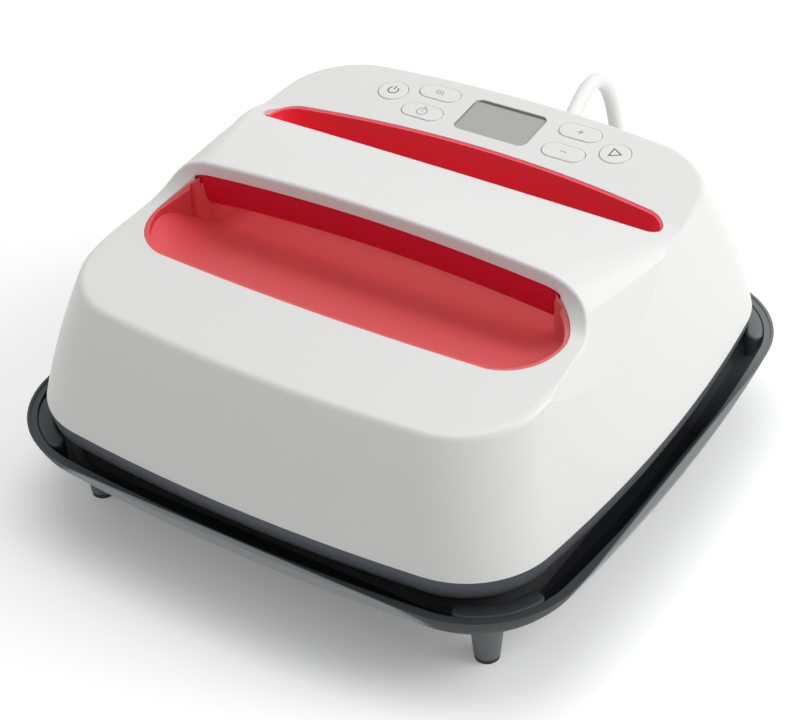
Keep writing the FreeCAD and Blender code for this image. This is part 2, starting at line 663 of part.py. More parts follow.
# Lower skirt
def lower_skirt():
    low, seam = size("skirt_low"), size("skirt_seam")

    def at(z, inset):
        return bowed_square(size("cover_half_x") - inset, size("cover_half_y") - inset,
                            size("cover_corner") - inset, size("cover_bow_side") - inset,
                            size("cover_bow_front") - inset, z)

    outer = loft([at(z, i) for z, i in ((low, 8.2), (46.3, 5.6), (48.6, 2.7), (52, 1.2), (seam, 0.6))])
    inner = loft([at(z, i) for z, i in ((48.8, 9.4), (50.4, 6.0), (53, 4.3), (seam + 1, 3.7))])
    ring = outer.cut(inner)
    lip_out = loft([cover_section(z, 2.75) for z in (57.6, 62, 66)])
    lip_in = loft([cover_section(z, 4.9) for z in (57.0, 62, 66.6)])
    ring = ring.fuse(lip_out.cut(lip_in)).removeSplitter()
    hole = size("plate_hole") * 2
    tools = [prism(rounded_rectangle(hole, hole, size("plate_hole_corner"), 40), 12)]
    for x, y in COVER_SCREWS:
        tools.append(Part.makeCylinder(size("screw_radius") + size("hole_play"), 8, Vector(x, y, 44)))
        tools.append(Part.makeCylinder(size("screw_head") + 0.1, 1.8, Vector(x, y, low - 0.2)))
    return ring.cut(tools)


# Heat plate and what sits on it
ELEMENT = [(-34, 96), (-94, 96), (-94, -94), (94, -94), (94, 96), (44, 96), (44, -44), (-44, -44), (-44, 46),
           (-4, 46)]
CLAMPS = [(-94, 0, 0), (94, 0, 0), (44, 20, 0), (-44, 0, 0), (0, -94, 90), (0, -44, 90)]
POSTS = [(-72, -72), (72, -72), (-72, 72), (72, 72), (-72, 0), (72, 0)]


def route_wire(points, share=0.45, radius=None, report=None):
    """straight runs joined by tangent arcs, as large as the runs allow unless a radius is given"""
    edges, start = [], points[0]
    for i in range(1, len(points) - 1):
        back = points[i - 1] - points[i]
        ahead = points[i + 1] - points[i]
        turn = math.pi - back.getAngle(ahead)
        shorter = min(back.Length, ahead.Length)
        r = radius or share * shorter / math.tan(turn / 2)
        reach = r * math.tan(turn / 2)
        back.normalize()
        ahead.normalize()
        a, b = points[i] + back * reach, points[i] + ahead * reach
        inward = (back + ahead).normalize()
        middle = points[i] + inward * (r / math.cos(turn / 2) - r)
        edges.append(Part.LineSegment(start, a).toShape())
        edges.append(Part.Arc(a, middle, b).toShape())
        start = b
        if report is not None:
            report.append(round(r, 1))
    edges.append(Part.LineSegment(start, points[-1]).toShape())
    return Part.Wire(edges)


def tube(wire, radius):
    start = wire.OrderedEdges[0]
    point, direction = start.valueAt(start.FirstParameter), start.tangentAt(start.FirstParameter)
    circle = Part.Wire(Part.Circle(point, direction, radius).toShape())
    return wire.makePipeShell([circle], True, False)


def saddle(x, y, turn):
    """strip bent over the element with a flat ear on each side"""
    r, thick, wide = size("element_radius") + 0.15, 1.2, 10.0
    zc = size("element_radius") + 0.1
    ear = 12.0

    def p(u, w):
        return Vector(u, -wide / 2, w)

    points = [p(-ear, 0), p(-r, 0), p(-r, zc), p(r, zc), p(r, 0), p(ear, 0), p(ear, thick), p(r + thick, thick),
              p(r + thick, zc), p(-r - thick, zc), p(-r - thick, thick), p(-ear, thick)]
    wire = closed_outline(points, {2: p(0, zc + r), 8: p(0, zc + r + thick)})
    strip = Part.Face(wire).extrude(Vector(0, wide, 0))
    holes = [Part.makeCylinder(size("screw_radius") + size("hole_play"), 4, Vector(u, 0, -1)) for u in (-8, 8)]
    strip = strip.cut(holes)
    strip.Placement = Placement(Vector(x, y, size("plate_low") + size("plate_thick")),
                                Rotation(Vector(0, 0, 1), turn))
    return strip


def plate_pieces():
    top = size("plate_low") + size("plate_thick")
    body = plate("heat_plate", "Dims.plate_side", "Dims.plate_side", "Dims.plate_thick", "Dims.plate_corner",
                 Vector(0, 0, size("plate_low")))
    doc.recompute()
    square = body.Tip
    under = ["Edge%d" % (i + 1) for i, e in enumerate(square.Shape.Edges) if e.BoundBox.ZMax < 0.01]
    soft = body.newObject("PartDesign::Fillet", "heat_plate_lower_edge")
    soft.Base = (square, under)
    soft.Radius = 2.0
    ear_holes = []
    for x, y, turn in CLAMPS:
        for u in (-8, 8):
            a = math.radians(turn)
            ear_holes.append((x + u * math.cos(a), y + u * math.sin(a)))
    sketch = sketch_on(body, "heat_plate_hole_centres")
    sketch.AttachmentOffset = Placement(Vector(0, 0, size("plate_thick")), Rotation())
    for x, y in ear_holes + POSTS + [(18, 4)]:
        sketch.addGeometry(Part.Circle(Vector(x, y, 0), Vector(0, 0, 1), size("screw_radius") + 0.03), False)
    holes = body.newObject("PartDesign::Pocket", "heat_plate_screw_holes")
    holes.Profile = sketch
    holes.Length = 5.0
    keep(body, "heat_plate")

    z = top + size("element_radius") + 0.1
    wire = route_wire([Vector(x, y, z) for x, y in ELEMENT], radius=18)
    element = tube(wire, size("element_radius"))
    ends = [Part.makeCylinder(1.8, 14, Vector(-34, 96, z), Vector(1, 0, 0)),
            Part.makeCylinder(1.8, 14, Vector(-4, 46, z), Vector(1, 0, 0))]
    keep(made("heating_element", element.fuse(ends)), "heating_element")
    keep(group("element_clamps", [made("clamp", saddle(x, y, turn)) for x, y, turn in CLAMPS]), "element_clamps")
    screws = []
    for x, y in ear_holes:
        head = cylinder("clamp_screw_head", Vector(x, y, top + 1.22), "Dims.screw_head - 0.4", "1.9")
        shank = cylinder("clamp_screw_shank", Vector(x, y, top - 4.5), "Dims.screw_radius", "6")
        screws.append(joined("clamp_screw", [head, shank]))
    keep(group("clamp_screws", screws), "clamp_screws")
    posts = []
    for x, y in POSTS:
        sleeve = cylinder("post_sleeve", Vector(x, y, top + 0.02), "3.5", "21.9")
        stud = cylinder("post_stud", Vector(x, y, top - 4.5), "Dims.screw_radius", "6")
        posts.append(joined("plate_post", [sleeve, stud]))
    keep(group("plate_posts", posts), "plate_posts")

    lug = Part.makeCylinder(4.2, 1.0, Vector(18, 4, top + 0.02)).fuse(
        Part.makeBox(14, 5, 1.0, Vector(18, 1.5, top + 0.02)))
    lug = lug.cut(Part.makeCylinder(size("screw_radius") + size("hole_play"), 3, Vector(18, 4, top - 1)))
    bead = Part.makeCylinder(2.2, 12, Vector(24, 4, top + 2.2), Vector(1, 0, 0))
    screw = Part.makeCylinder(2.6, 1.9, Vector(18, 4, top + 1.04)).fuse(
        Part.makeCylinder(size("screw_radius"), 6, Vector(18, 4, top - 4)))
    keep(made("temperature_sensor", lug.fuse(bead)), "temperature_sensor")
    keep(made("sensor_screw", screw), "sensor_screw")
    case = Part.makeCylinder(2.4, 14, Vector(-24, -6, top + 2.45), Vector(0, 1, 0))
    tip = Part.makeCone(2.4, 0.9, 3, Vector(-24, 8, top + 2.45), Vector(0, 1, 0))
    leads = Part.makeCylinder(0.5, 34, Vector(-24, -16, top + 2.45), Vector(0, 1, 0))
    keep(made("thermal_fuse", case.fuse([tip, leads])), "thermal_fuse")


def shield_pieces():
    low, top = 55.0, 61.0
    pan = plate("heat_shield", "212", "212", "%g" % (top - low), "14", Vector(0, 0, low))
    doc.recompute()
    hollow = sketch_on(pan, "heat_shield_hollow_outline")
    add_rectangle(hollow, "209.6", "209.6")
    pocket = pan.newObject("PartDesign::Pocket", "heat_shield_hollow")
    pocket.Profile = hollow
    pocket.Reversed = True
    pocket.Length = top - low - 1.0
    drill(pan, "heat_shield_post_holes", POSTS, "3.7", "20")
    drill(pan, "heat_shield_wire_holes", [(-20, 96), (8, 46), (36, 4), (-24, 22)], "3.5", "20")
    keep(pan, "heat_shield")
    fleece = plate("insulation_blanket", "200", "200", "8.6", "14", Vector(0, 0, top + 0.1))
    doc.recompute()
    drill(fleece, "insulation_blanket_holes", POSTS, "4.5", "20")
    keep(fleece, "insulation_blanket")


def chassis_pieces():
    low, thick = 72.0, 4.0
    tray = plate("inner_chassis", "212", "208", "%g" % thick, "20", Vector(0, 0, low))
    doc.recompute()
    drill(tray, "inner_chassis_screw_holes", CHASSIS_SCREWS + POSTS, "Dims.screw_radius + Dims.hole_play", "20")
    drill(tray, "inner_chassis_wire_holes", [(-20, 96), (8, 46), (36, 4), (-24, 22)], "5", "20")
    outline = sketch_on(tray, "inner_chassis_rim_outline")
    outline.AttachmentOffset = Placement(Vector(0, 0, thick), Rotation())
    add_rectangle(outline, "160", "120")
    add_rectangle(outline, "155", "115")
    rim = tray.newObject("PartDesign::Pad", "inner_chassis_rib")
    rim.Profile = outline
    rim.Length = 6.0
    board_places = [(-64, 76), (64, 76), (-64, 100), (64, 100)]
    centres = sketch_on(tray, "inner_chassis_post_centres")
    centres.AttachmentOffset = Placement(Vector(0, 0, thick), Rotation())
    for x, y in board_places:
        centres.addGeometry(Part.Circle(Vector(x, y, 0), Vector(0, 0, 1), 3.2), False)
        centres.addGeometry(Part.Circle(Vector(x, y, 0), Vector(0, 0, 1), 1.03), False)
    posts = tray.newObject("PartDesign::Pad", "inner_chassis_posts")
    posts.Profile = centres
    posts.Length = 8.0
    keep(tray, "inner_chassis")

    place = Vector(0, 88, low + thick + 8.02)
    board = plate("power_board", "140", "32", "1.6", "2", place)
    doc.recompute()
    drill(board, "power_board_holes", [(x, y - 88) for x, y in board_places], "1.1", "5")
    keep(board, "power_board")
    top = place.z + 1.62
    keep(plate("power_relay", "20", "16", "15.5", "1", Vector(-44, 88, top)), "power_relay")
    keep(cylinder("filter_capacitor", Vector(-20, 86, top), "6", "17"), "filter_capacitor")
    keep(made("mains_terminal", terminal_block(Vector(16, 94, top))), "mains_terminal")
    keep(made("board_heat_sink", heat_sink(Vector(28, 78, top))), "board_heat_sink")
    screws = []
    for x, y in board_places:
        head = cylinder("power_board_screw_head", Vector(x, y, top), "2.1", "1.5")
        shank = cylinder("power_board_screw_shank", Vector(x, y, top - 7), "1", "7.5")
        screws.append(joined("power_board_screw", [head, shank]))
    keep(group("power_board_screws", screws), "power_board_screws")
    screws = []
    for x, y in CHASSIS_SCREWS:
        head = cylinder("chassis_screw_head", Vector(x, y, low - 2.02), "Dims.screw_head", "2")
        shank = cylinder("chassis_screw_shank", Vector(x, y, low - 0.1), "Dims.screw_radius", "15")
        screws.append(joined("chassis_screw", [head, shank]))
    for x, y in POSTS:
        head = cylinder("post_screw_head", Vector(x, y, low + thick + 0.02), "Dims.screw_head", "2")
        shank = cylinder("post_screw_shank", Vector(x, y, low + 0.1), "Dims.screw_radius", "4.5")
        screws.append(joined("post_screw", [head, shank]))
    keep(group("chassis_screws", screws), "chassis_screws")
    screws = []
    for x, y in COVER_SCREWS:
        head_place = Vector(x, y, size("skirt_low") - 0.4)
        head = cylinder("cover_screw_head", head_place, "Dims.screw_head - 0.2", "1.95")
        shank = cylinder("cover_screw_shank", Vector(x, y, size("skirt_low") + 1), "Dims.screw_radius", "18")
        screws.append(joined("cover_screw", [head, shank]))
    keep(group("cover_screws", screws), "cover_screws")


def terminal_block(place):
    block = Part.makeBox(30, 10, 12, place + Vector(-15, -5, 0))
    for i in range(3):
        x = -10 + 10 * i
        block = block.cut(Part.makeCylinder(2.6, 5, place + Vector(x, 0, 8)))
        block = block.cut(Part.makeBox(6, 4, 5, place + Vector(x - 3, -6, 2)))
    return block


def heat_sink(place):
    fins = Part.makeBox(36, 2, 20, place + Vector(-18, -1, 0))
    for i in range(7):
        fins = fins.fuse(Part.makeBox(1.2, 5, 20, place + Vector(-18 + 5.8 * i, -5, 0)))
    return fins.removeSplitter()


# Panel: keys, mat, board and display
def panel_pieces():
    under = -size("wall")
    for name, x, y, is_round in KEYS:
        cap = prism(key_outline(is_round, 0, -3.2), 3.2 + size("key_proud"))
        rim = [e for e in cap.Edges if e.BoundBox.ZMin > size("key_proud") - 0.01]
        cap = cap.makeFillet(0.5, rim)
        flange = prism(key_outline(is_round, 1.1, -4.2), 1.1)
        stem = Part.makeCylinder(2.0, 1.0, Vector(0, 0, -4.8))
        key = cap.fuse([flange, stem]).removeSplitter()
        keep(made(name, key, PANEL.multiply(Placement(Vector(x, y, 0), Rotation()))), name)
    mat_low, board_low = under - 4.9, under - 6.6
    sheet_form = prism(rounded_rectangle(128, 33, 3, mat_low), 0.8)
    for name, x, y, is_round in KEYS:
        dome = Part.makeSphere(4.0, Vector(x, y, mat_low + 0.8 - 3.4)).common(
            Part.makeBox(10, 10, 2, Vector(x - 5, y - 5, mat_low + 0.4)))
        sheet_form = sheet_form.fuse(dome)
    sheet_form = sheet_form.cut(prism(rounded_rectangle(46, 31, 2, mat_low - 1), 4))
    sheet_form = sheet_form.cut([Part.makeCylinder(3.0, 4, Vector(x, y, mat_low - 1)) for x, y in BOARD_SCREWS])
    keep(made("key_mat", sheet_form, PANEL), "key_mat")
    board_place = PANEL.multiply(Placement(Vector(0, 0, board_low - 0.02), Rotation()))
    board = plate("control_board", "126", "32", "1.6", "2", board_place)
    doc.recompute()
    drill(board, "control_board_holes", BOARD_SCREWS, "1.1", "5")
    keep(board, "control_board")
    screws = []
    for x, y in BOARD_SCREWS:
        screw = Part.makeCylinder(2.1, 1.5, Vector(x, y, board_low - 1.55)).fuse(
            Part.makeCylinder(1.0, 5.5, Vector(x, y, board_low - 0.2)))
        screws.append(made("board_screw", screw, PANEL))
    keep(group("board_screws", screws), "board_screws")
    lens_low = PANEL.multiply(Placement(Vector(0, 0, under - 1.05), Rotation()))
    flange = plate("lens_flange", "Dims.window_width + 3", "Dims.window_depth + 3", "1", "4", lens_low)
    face = plate("lens_face", "Dims.window_width - 0.3", "Dims.window_depth - 0.3", "2.75",
                 "Dims.window_corner - 0.15", lens_low)
    keep(joined("display_lens", [flange, face]), "display_lens")
    lcd = plate("lcd_module", "42", "28", "3.3", "1",
                PANEL.multiply(Placement(Vector(0, 0, mat_low - 0.05), Rotation())))
    keep(lcd, "lcd_module")


# Mains cord: gland, free lead, coil and plug
GLAND_AXIS = Vector(-0.13, math.cos(math.radians(22)), math.sin(math.radians(22))).normalize()
GLAND_ROOT = Vector(0, 129.6, 81.0)
GLAND_LENGTH = 26.0
LEAD_END = Vector(-76.7, 261.0, 4.1)
# The lead's route after the gland, up, over and down to the floor behind the press
LEAD = [GLAND_ROOT + GLAND_AXIS * 40.6, Vector(-8.2, 185.5, 100.3), Vector(-11.2, 203.6, 95.2),
        Vector(-12.9, 217.6, 83.0), Vector(-14.2, 227.8, 66.2), Vector(-15.4, 235.3, 48.9),
        Vector(-18.1, 242.5, 32.7), Vector(-25.8, 250.1, 19.8), Vector(-38.0, 257.0, 10.8),
        Vector(-51.5, 260.6, 5.6), Vector(-66.0, 261.0, 4.1)]
PLUG_RUN = 36.0


def cord_gland():
    """tapered strain relief with grooves, a flange shaped to the wall and a collar inside"""
    r = size("cord_diameter") / 2
    outside = [(-4, 0), (-4, 9.0), (2.6, 9.0), (2.6, 7.2)]
    for i in range(5):
        start = 5.0 + 4.0 * i
        radius = 7.2 - 0.4 * i
        outside += [(start, radius), (start, radius - 1.0), (start + 1.4, radius - 1.0), (start + 1.4, radius - 0.2)]
    outside += [(GLAND_LENGTH, r + 0.9), (GLAND_LENGTH, 0)]
    inside = [(-7, 0), (-7, 7.4), (-5, 7.4), (-5, 5.9), (4, 5.9), (4, 0)]
    wall = loft([cover_section(z, -0.1) for z in (66, 72, 86, 100)])
    solid = turned(outside).cut(wall).fuse(turned(inside))
    return solid.removeSplitter()


def turned(outline):
    """solid of revolution on the gland's axis from pairs of place along the axis and radius"""
    solid = Part.Face(polygon([Vector(x, 0, z) for z, x in outline])).revolve(Vector(), Vector(0, 0, 1), 360)
    solid.Placement = Placement(GLAND_ROOT, Rotation(Vector(0, 0, 1), GLAND_AXIS))
    return solid


def coil_point(turns):
    """centre line of the put-away coil: in along the floor, up a layer, out again"""
    total = 5.0
    half = total / 2
    radius = size("coil_radius") - size("coil_pitch") * (half - abs(turns - half))
    low = size("cord_diameter") / 2 + 0.1
    climb = min(1.0, max(0.0, (turns - half + 0.25) / 0.5))
    eased = climb * climb * (3 - 2 * climb)
    angle = math.radians(90) + 2 * math.pi * turns
    middle = Vector(LEAD_END.x - 8.3, LEAD_END.y - size("coil_radius"), low + size("coil_layer") * eased)
    return middle + Vector(radius * math.cos(angle), radius * math.sin(angle), 0)


def biarc(a, ta, b, tb):
    """two tangent arcs from a to b with the given directions"""
    v = b - a
    t = ta + tb
    k = 2 * (1 - ta.dot(tb))
    vt = v.dot(t)
    if abs(k) < 1e-9:
        d = v.dot(v) / (4 * v.dot(tb))
    else:
        d = (-vt + math.sqrt(vt * vt + k * v.dot(v))) / k
    joint = (a + b + (ta - tb) * d) * 0.5
    return [arc_from(a, ta, joint), arc_from(joint, (b - tb * d - (a + ta * d)).normalize(), b)]


def arc_from(a, direction, b):
    """arc leaving a along direction and ending at b"""
    chord = b - a
    length = chord.Length
    side = chord * (1 / length)
    lift = direction - side * direction.dot(side)
    if lift.Length < 1e-6:
        return Part.LineSegment(a, b).toShape()
    lift.normalize()
    angle = direction.getAngle(chord)
    bulge = length / 2 * math.tan(angle / 2)
    return Part.Arc(a, (a + b) * 0.5 + lift * bulge, b).toShape()


def coil_wire():
    total, step = 5.0, 0.25
    count = int(total / step)
    points = [coil_point(i * step) for i in range(count + 1)]
    ways = []
    for i in range(count + 1):
        near = coil_point(min(total, i * step + 1e-4)) - coil_point(max(0.0, i * step - 1e-4))
        ways.append(near.normalize())
    ways[0], ways[-1] = Vector(-1, 0, 0), Vector(-1, 0, 0)
    straight = size("cord_diameter")
    edges = [Part.LineSegment(points[0] + Vector(straight, 0, 0), points[0]).toShape()]
    for i in range(count):
        edges += biarc(points[i], ways[i], points[i + 1], ways[i + 1])
    edges.append(Part.LineSegment(points[-1], points[-1] - Vector(PLUG_RUN, 0, 0)).toShape())
    return Part.Wire(edges)


def least_gap(wire, diameter):
    """nearest approach of the coil to itself, surface to surface, measured on points"""
    points = wire.discretize(Distance=1.5)
    skip = int(2.5 * diameter / 1.5)
    nearest = 1e9
    for i in range(len(points)):
        for j in range(i + skip, len(points), 2):
            nearest = min(nearest, (points[i] - points[j]).Length)
    return nearest - diameter


def cord_pieces():
    r = size("cord_diameter") / 2
    keep(made("cord_gland", cord_gland()), "cord_gland")
    start = GLAND_ROOT + GLAND_AXIS * (GLAND_LENGTH + 0.3)
    radii = []
    wire = route_wire([start] + LEAD + [LEAD_END], report=radii)
    lead = tube(wire, r)
    print("lead bend radii", radii)
    print("lead length %.1f, volume over section times length %.4f"
          % (wire.Length, lead.Volume / (math.pi * r * r * wire.Length)))
    keep(made("cord_lead", lead), "cord_lead")
    turns = coil_wire()
    coil = tube(turns, r)
    print("coil length %.1f, volume ratio %.4f, least gap to itself %.2f"
          % (turns.Length, coil.Volume / (math.pi * r * r * turns.Length), least_gap(turns, 2 * r)))
    keep(made("cord_coil", coil), "cord_coil")
    end = coil_point(5.0) - Vector(PLUG_RUN + 0.1, 0, 0)
    keep(made("plug_body", plug_body(end)), "plug_body")
    keep(made("plug_pins", plug_pins(end)), "plug_pins")


def plug_body(end):
    """moulded plug: narrow neck that widens to a flat-sided head"""
    sections = []
    for x, wide, high, corner in ((0, 11, 11, 5.4), (8, 13, 13, 6), (14, 21, 19, 7), (22, 25, 23, 8),
                                  (36, 26, 24, 8)):
        wire = rounded_rectangle(wide, high, corner, 0)
        wire.Placement = Placement(end + Vector(-x, 0, 0),
                                   Rotation(Vector(0, 1, 0), Vector(0, 0, 1), Vector(1, 0, 0), "ZXY"))
        sections.append(wire)
    return loft(sections, True)


def plug_pins(end):
    face = end + Vector(-36, 0, 0)
    pins = []
    for side in (-1, 1):
        pins.append(Part.makeBox(17, 1.5, 6.3, face + Vector(-17, side * 6.35 - 0.75, -1.2)))
    pins.append(Part.makeCylinder(2.4, 19, face + Vector(0, 0, -7), Vector(-1, 0, 0)))
    return Part.makeCompound(pins)


def build():
    tray_pieces()
    foot_pieces()
    keep(made("upper_shell", upper_shell()), "upper_shell")
    keep(made("grip_trough", grip_trough()), "grip_trough")
    keep(made("grip_liner", grip_liner()), "grip_liner")
    keep(made("lower_skirt", lower_skirt()), "lower_skirt")
    plate_pieces()
    shield_pieces()
    chassis_pieces()
    panel_pieces()
    cord_pieces()
    doc.recompute()


def check():
    for thing in doc.Objects:
        bad = [state for state in thing.State if state in ("Invalid", "Error")]
        if bad:
            raise SystemExit("%s (%s) is %s" % (thing.Label, thing.TypeId, bad))
    for node in nodes:
        shape = node.Shape
        if shape.isNull() or not shape.isValid() or not shape.Solids:
            raise SystemExit("%s has no valid solid" % node.Label)


def write():
    os.makedirs("parts", exist_ok=True)
    for node in nodes:
        node.Shape.exportStep("parts/%s.step" % node.Label)
        box = node.Shape.BoundBox
        print("%-20s %2d solids %10.0f mm3  x %.1f %.1f  y %.1f %.1f  z %.1f %.1f" % (
            node.Label, len(node.Shape.Solids), node.Shape.Volume, box.XMin, box.XMax, box.YMin, box.YMax,
            box.ZMin, box.ZMax))


build()
check()
write()
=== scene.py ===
# Handheld heat press standing in its safety base, dressed and lit as in a studio photograph.
import math
import bpy
from mathutils import Matrix, Vector


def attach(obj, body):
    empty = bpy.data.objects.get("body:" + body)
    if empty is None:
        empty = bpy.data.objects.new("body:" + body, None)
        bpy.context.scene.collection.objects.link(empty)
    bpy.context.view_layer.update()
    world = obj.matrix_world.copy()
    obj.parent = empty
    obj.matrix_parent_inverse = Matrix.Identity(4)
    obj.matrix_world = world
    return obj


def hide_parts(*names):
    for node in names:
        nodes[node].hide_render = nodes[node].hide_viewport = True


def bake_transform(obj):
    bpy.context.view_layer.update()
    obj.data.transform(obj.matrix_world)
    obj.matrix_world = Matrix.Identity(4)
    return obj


mm = 0.001
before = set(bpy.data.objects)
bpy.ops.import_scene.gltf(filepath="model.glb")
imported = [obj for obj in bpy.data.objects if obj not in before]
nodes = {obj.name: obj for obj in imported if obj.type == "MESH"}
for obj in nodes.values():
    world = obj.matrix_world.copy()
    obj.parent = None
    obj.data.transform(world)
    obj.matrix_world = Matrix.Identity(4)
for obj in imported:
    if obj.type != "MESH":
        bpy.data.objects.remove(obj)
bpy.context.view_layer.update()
scene = bpy.context.scene
print("frame loaded:", len(nodes), "CAD nodes")


# Camera: the photograph's viewing angle, found from the outline of the press
cameraValues = {
    "lens": 87.84, "sensor": 36.0, "azimuth": 33.73, "elevation": 36.44, "roll": -1.90,
    "distance": 899.07 * mm, "target": (-4.94 * mm, 0.73 * mm, 46.0 * mm), "nearest": 0.05}


def makeCamera(values):
    azimuth, elevation, roll = (math.radians(values[k]) for k in ("azimuth", "elevation", "roll"))
    back = Vector((math.sin(azimuth) * math.cos(elevation),
                   -math.cos(azimuth) * math.cos(elevation), math.sin(elevation)))
    level = Vector((math.cos(azimuth), math.sin(azimuth), 0))
    upright = back.cross(level)
    right = level * math.cos(roll) + upright * math.sin(roll)
    up = upright * math.cos(roll) - level * math.sin(roll)
    data = bpy.data.cameras.new("studioCamera")
    data.lens = values["lens"]
    data.sensor_width = values["sensor"]
    data.sensor_fit = "HORIZONTAL"
    data.clip_start = values["nearest"]
    camera = bpy.data.objects.new("studioCamera", data)
    scene.collection.objects.link(camera)
    place = Vector(values["target"]) + back * values["distance"]
    turn = Matrix((right, up, back)).transposed().to_4x4()
    camera.matrix_world = Matrix.Translation(place) @ turn
    scene.camera = camera


makeCamera(cameraValues)
print("camera set")


# Shader maths as Python expressions
class Flow:
    def __init__(self, tree, socket=None):
        self.tree = tree
        self.socket = socket

    def feed(self, target, value):
        # link another step's result, or set a plain value
        if isinstance(value, Flow):
            self.tree.links.new(value.socket, target)
        else:
            target.default_value = value

    def node(self, kind, settings=None, output=0, **inputs):
        # inputs go by number, as in0, or by name with _ for a space
        step = self.tree.nodes.new(kind)
        for name, value in (settings or {}).items():
            setattr(step, name, value)
        for name, value in inputs.items():
            numbered = name.startswith("in") and name[2:].isdigit()
            key = int(name[2:]) if numbered else name.replace("_", " ")
            self.feed(step.inputs[key], value)
        return Flow(self.tree, step.outputs[output])

    def maths(self, operation, first, second=0.0):
        return self.node("ShaderNodeMath", {"operation": operation}, in0=first, in1=second)

    def __add__(self, other):
        return self.maths("ADD", self, other)

    def __radd__(self, other):
        return self.maths("ADD", other, self)

    def __sub__(self, other):
        return self.maths("SUBTRACT", self, other)

    def __rsub__(self, other):
        return self.maths("SUBTRACT", other, self)

    def __mul__(self, other):
        return self.maths("MULTIPLY", self, other)

    def __rmul__(self, other):
        return self.maths("MULTIPLY", other, self)


def rgba(colour):
    return colour if isinstance(colour, Flow) else (*colour, 1.0)


def newMaterial(name):
    material = bpy.data.materials.new(name)
    material.use_nodes = True
    tree = material.node_tree
    surface = next(n for n in tree.nodes if n.type == "BSDF_PRINCIPLED")
    return material, Flow(tree), surface


def setSurface(flow, surface, **inputs):
    for name, value in inputs.items():
        flow.feed(surface.inputs[name.replace("_", " ")], value)


def objectPlace(flow):
    return flow.node("ShaderNodeTexCoord", output=3)


def axisOf(flow, letter):
    return flow.node("ShaderNodeSeparateXYZ", output=letter, Vector=objectPlace(flow))


def grain(flow, scale, detail, rough=0.5):
    return flow.node("ShaderNodeTexNoise", Vector=objectPlace(flow), Scale=scale, Detail=detail,
                     Roughness=rough)


def fineBump(flow, scale, height, detail=3.0, rough=0.6, strength=0.35):
    return flow.node("ShaderNodeBump", Height=grain(flow, scale, detail, rough),
                     Strength=strength, Distance=height)


def tinted(flow, colour, other, share):
    # the first colour where the share is zero, the other where it is one
    return flow.node("ShaderNodeMix", {"data_type": "RGBA"}, output=2, in0=share,
                     in6=rgba(colour), in7=rgba(other))


def ramp(flow, value, start, end):
    # zero before start, one after end, straight between
    return flow.node("ShaderNodeMapRange", in0=value, in1=start, in2=end, in3=0.0, in4=1.0)


# One moulded or coated finish: colour, a second colour for slow mottle, gloss and fine texture
def finish(name, colour, other=None, rough=0.4, roughSpread=0.04, metal=0.0, specular=0.5,
           grainScale=900.0, grainHeight=0.00002, mottle=14.0):
    material, flow, surface = newMaterial(name)
    slow = grain(flow, mottle, detail=1.0)
    swing = slow - 0.5  # the noise lies about one half
    setSurface(flow, surface, Base_Color=tinted(flow, colour, other or colour, slow),
               Roughness=rough + swing * roughSpread, Metallic=metal, Specular_IOR_Level=specular)
    if grainHeight:
        setSurface(flow, surface, Normal=fineBump(flow, grainScale, grainHeight))
    return material


